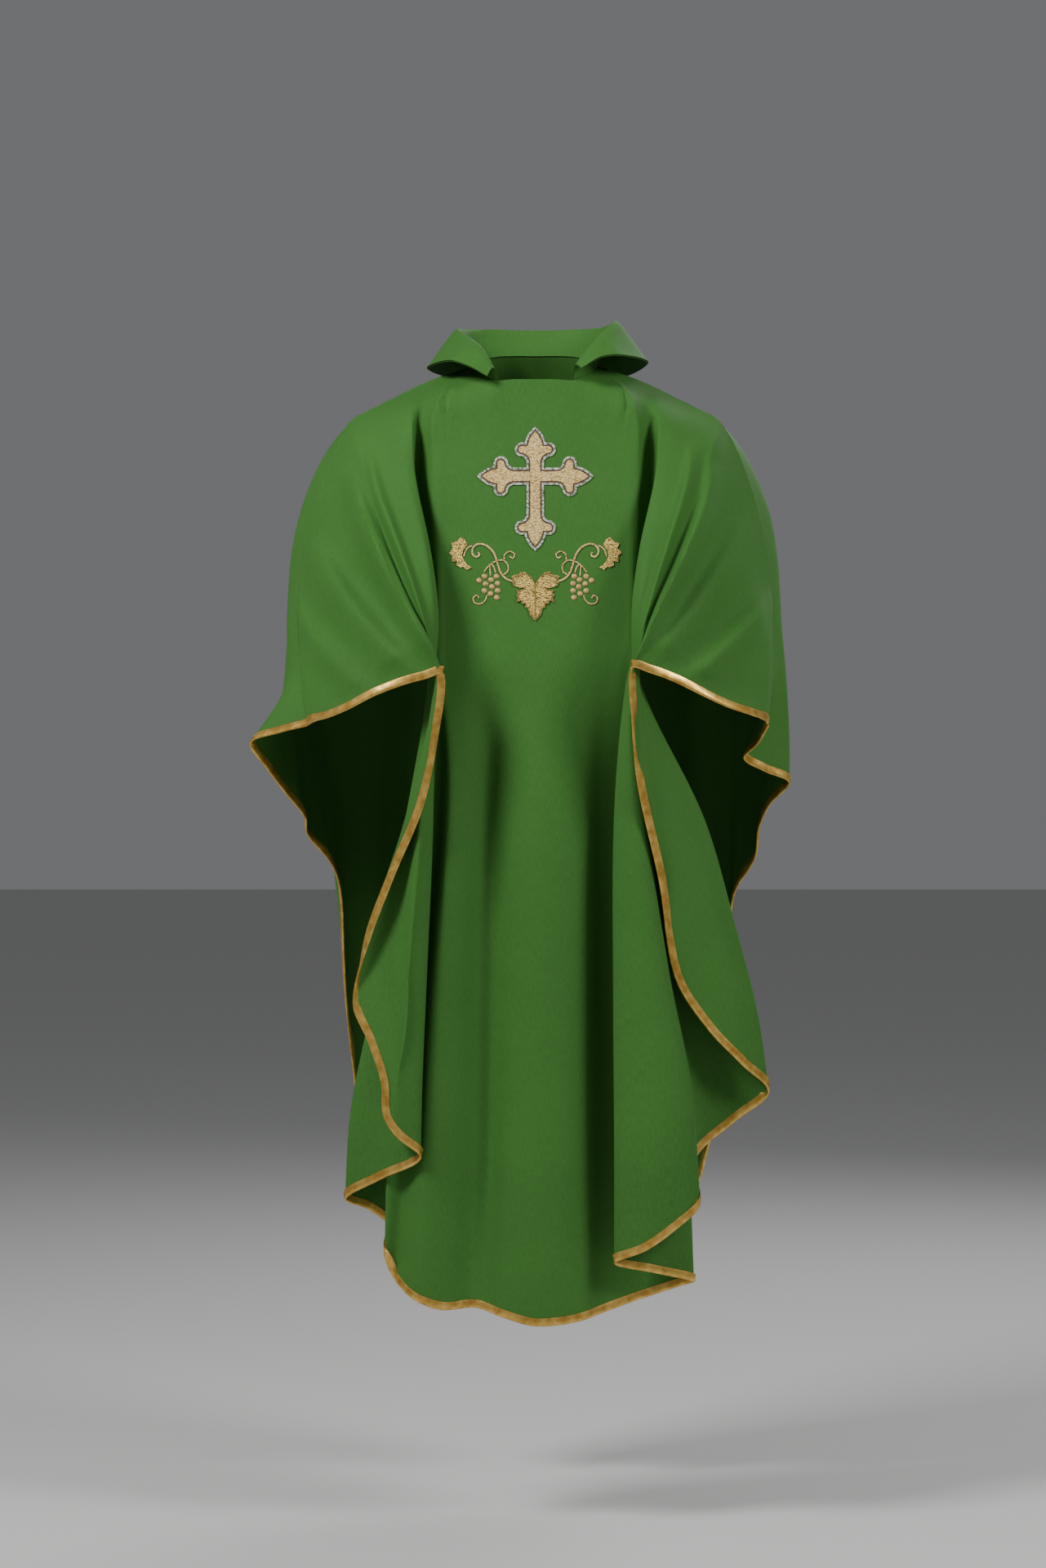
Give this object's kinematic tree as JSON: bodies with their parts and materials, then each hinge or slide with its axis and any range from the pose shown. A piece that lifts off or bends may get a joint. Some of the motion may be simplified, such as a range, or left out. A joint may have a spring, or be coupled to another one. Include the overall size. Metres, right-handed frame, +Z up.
{
  "type": "chasuble",
  "caption": "Full-length green chasuble as worn with arms bent: draped front and back, rolled collar, gold hem binding, embroidered cross and vine on the chest.",
  "frame": {"origin": "middle of the neck opening, level with the points where the shoulder seams meet the neck edge", "axes": "+Z up, -Y the front of the garment, +X to the right as seen from the front"},
  "size_m": [0.6988, 0.3806, 1.2914],
  "materials": {
    "green_cloth": "matt woven polyester and wool cloth with a fine vertical rib",
    "gold_satin": "shiny metallic satin bias tape",
    "gold_thread": "metallic embroidery and sewing thread",
    "gold_lame": "glittering gold fill stitches",
    "brown_thread": "dark brown cord stitches",
    "silver_thread": "silver satin stitches",
    "white_interlining": "white non-woven interlining"
  },
  "bodies": {
    "root": {"front_panel": "green_cloth", "back_panel": "green_cloth", "front_hem_binding": "gold_satin", "back_hem_binding": "gold_satin", "front_binding_stitching": "gold_thread", "back_binding_stitching": "gold_thread", "left_shoulder_seam": "green_cloth", "right_shoulder_seam": "green_cloth", "upper_collar": "green_cloth", "collar_interfacing": "white_interlining", "under_collar": "green_cloth", "neck_facing": "green_cloth", "embroidery_backing": "white_interlining", "cross_gold_fill": "gold_thread", "cross_dark_line": "brown_thread", "cross_silver_border": "silver_thread", "vine_leaf": "gold_lame", "vine_leaf_veins": "gold_thread", "left_scroll_stem": "gold_thread", "right_scroll_stem": "gold_thread", "left_tendrils": "gold_thread", "right_tendrils": "gold_thread", "left_grapes": "gold_thread", "right_grapes": "gold_thread", "left_side_leaf": "gold_lame", "right_side_leaf": "gold_lame"}
  },
  "joints": []
}
